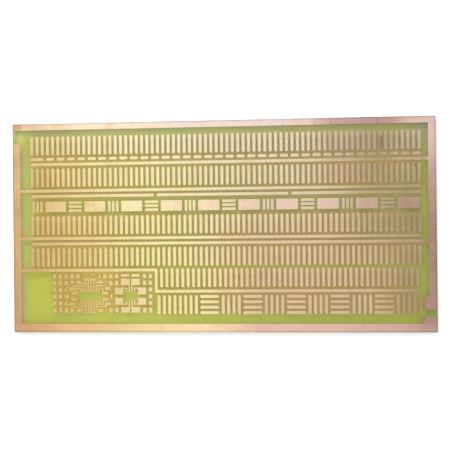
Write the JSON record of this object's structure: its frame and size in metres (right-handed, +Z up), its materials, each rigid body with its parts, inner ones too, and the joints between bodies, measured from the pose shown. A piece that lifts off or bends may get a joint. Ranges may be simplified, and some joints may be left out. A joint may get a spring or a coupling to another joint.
{
  "type": "bare circuit board",
  "caption": "Flat single-sided prototyping circuit board: green translucent laminate with bare copper edge rails, bus tracks, rows of round-ended pads and chip lands.",
  "frame": {"origin": "centre of the board's underside, in the plane that it rests on", "axes": "+X along the long side towards the contact tabs, +Y across the board towards the edge with the unbroken rail, +Z up out of the copper side"},
  "size_m": [0.2, 0.1, 0.0016],
  "materials": {
    "laminate": "satin translucent glass epoxy",
    "copper": "bare etched copper, satin, lightly tarnished"
  },
  "bodies": {
    "root": {"laminate": "laminate", "rail_comb_far": "copper", "rail_comb_near": "copper", "split_bus_left": "copper", "split_bus_middle": "copper", "split_bus_right": "copper", "dash_row": "copper", "pad_row_1": "copper", "pad_row_2": "copper", "pad_row_3": "copper", "pad_row_4": "copper", "pad_row_5": "copper", "wide_lands": "copper", "upright_bars": "copper", "level_bars": "copper", "lower_pads_upright": "copper", "lower_pads_level": "copper", "fill_lands_left": "copper", "fill_lands_middle": "copper", "fill_lands_right": "copper", "chip16_lead_01": "copper", "chip16_lead_02": "copper", "chip16_lead_03": "copper", "chip16_lead_04": "copper", "chip16_lead_05": "copper", "chip16_lead_06": "copper", "chip16_lead_07": "copper", "chip16_lead_08": "copper", "chip16_lead_09": "copper", "chip16_lead_10": "copper", "chip16_lead_11": "copper", "chip16_lead_12": "copper", "chip16_lead_13": "copper", "chip16_lead_14": "copper", "chip16_lead_15": "copper", "chip16_lead_16": "copper", "chip8_lead_1": "copper", "chip8_lead_2": "copper", "chip8_lead_3": "copper", "chip8_lead_4": "copper", "chip8_lead_5": "copper", "chip8_lead_6": "copper", "chip8_lead_7": "copper", "chip8_lead_8": "copper"}
  },
  "joints": []
}
